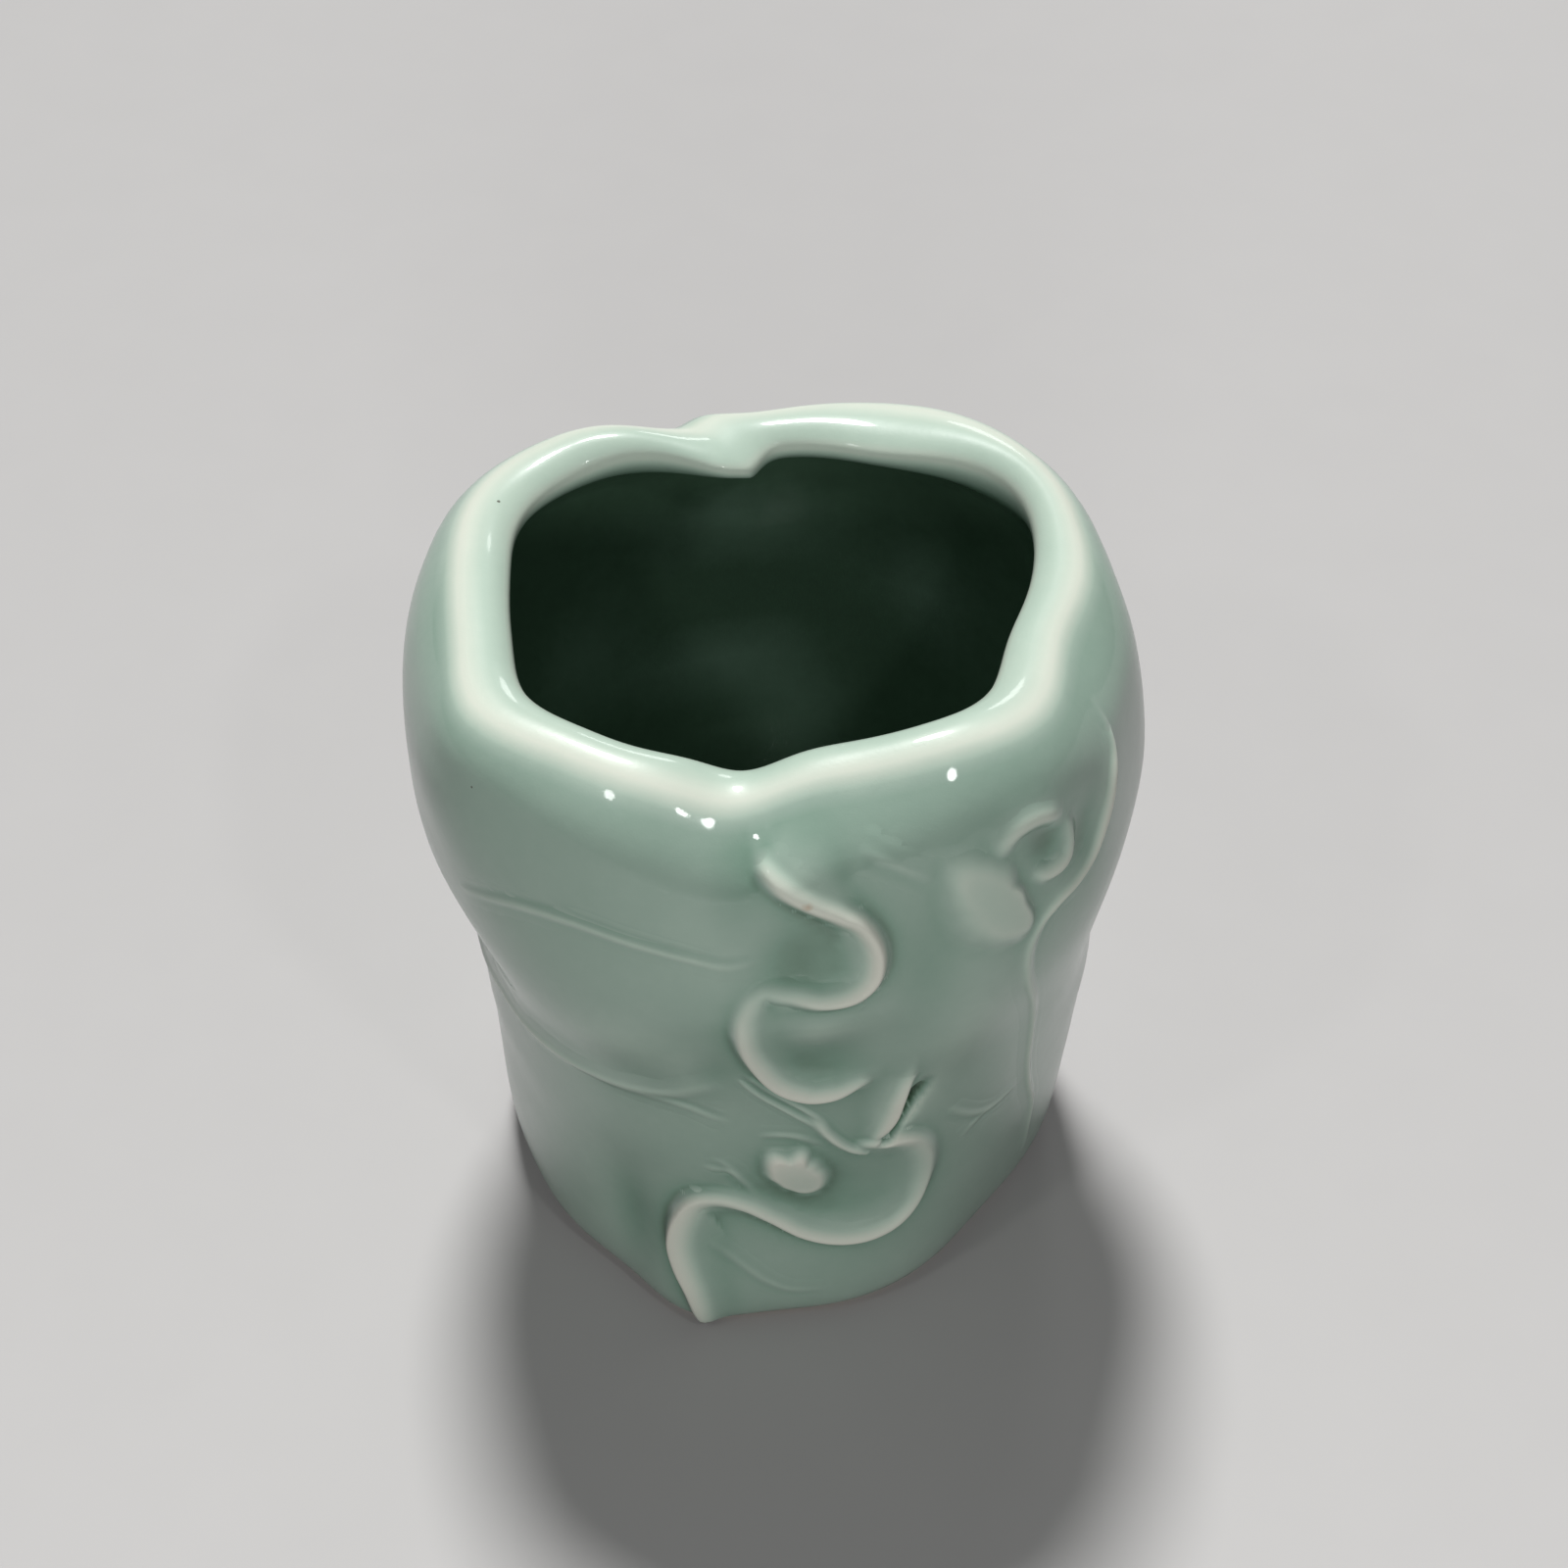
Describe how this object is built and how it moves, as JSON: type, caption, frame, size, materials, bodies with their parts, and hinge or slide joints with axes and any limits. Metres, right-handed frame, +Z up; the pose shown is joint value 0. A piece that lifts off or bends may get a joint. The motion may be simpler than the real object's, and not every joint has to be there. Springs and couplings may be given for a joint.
{
  "type": "lotus-leaf brush pot",
  "caption": "Glazed ceramic brush pot formed as a furled lotus leaf, with a rolled wavy lip, leaf margins in relief, a flat floor and an unglazed foot ring.",
  "frame": {"origin": "middle of the pot's footprint, on the surface it stands on", "axes": "+Z up through the mouth; the carved front with the dip in the lip faces -Y; +X to the right seen from the front"},
  "size_m": [0.1148, 0.1158, 0.1218],
  "materials": {
    "celadon_glaze": "gloss",
    "bare_biscuit": "matte"
  },
  "bodies": {
    "root": {"body_wall": "celadon_glaze", "floor_disc": "celadon_glaze", "wavy_leaf_margin": "celadon_glaze", "left_leaf_margin": "celadon_glaze", "back_leaf_margin": "celadon_glaze", "furled_leaf_tip": "celadon_glaze", "lower_leaf_margin": "celadon_glaze", "base_leaf_fold": "celadon_glaze", "leaf_stem": "celadon_glaze", "right_margin_upper": "celadon_glaze", "right_margin_lower": "celadon_glaze", "side_curl": "celadon_glaze", "side_bud": "celadon_glaze", "leaf_navel": "celadon_glaze", "side_petal": "celadon_glaze", "foot_ring": "bare_biscuit"}
  },
  "joints": []
}
